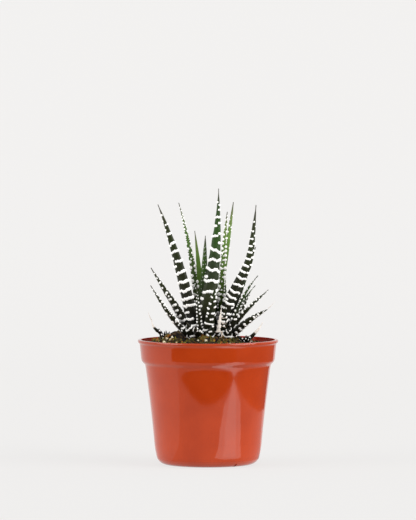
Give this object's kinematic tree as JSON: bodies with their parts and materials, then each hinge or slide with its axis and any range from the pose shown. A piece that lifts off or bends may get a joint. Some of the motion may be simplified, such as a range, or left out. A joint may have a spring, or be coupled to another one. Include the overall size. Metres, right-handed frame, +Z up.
{
  "type": "potted haworthia",
  "caption": "Potted haworthia: two rosettes of pointed white-banded leaves and small offsets in a round nursery pot with a collar and drain holes.",
  "frame": {"origin": "centre of the pot's underside, on the plane that it rests on", "axes": "+Z up along the pot's axis, -Y towards the front of the plant, where the tall banded leaf shows its back"},
  "size_m": [0.09, 0.09, 0.1772],
  "materials": {
    "pot_plastic": "moulded terracotta-coloured polypropylene, lightly glossy",
    "potting_mix": "damp peat mix with moss, grit and bark, rough",
    "leaf": "firm waxy leaf skin with raised white bands"
  },
  "bodies": {
    "root": {"pot": "pot_plastic", "soil": "potting_mix", "rosette_left": "leaf", "rosette_right": "leaf", "offset_left": "leaf", "offset_right": "leaf"}
  },
  "joints": []
}
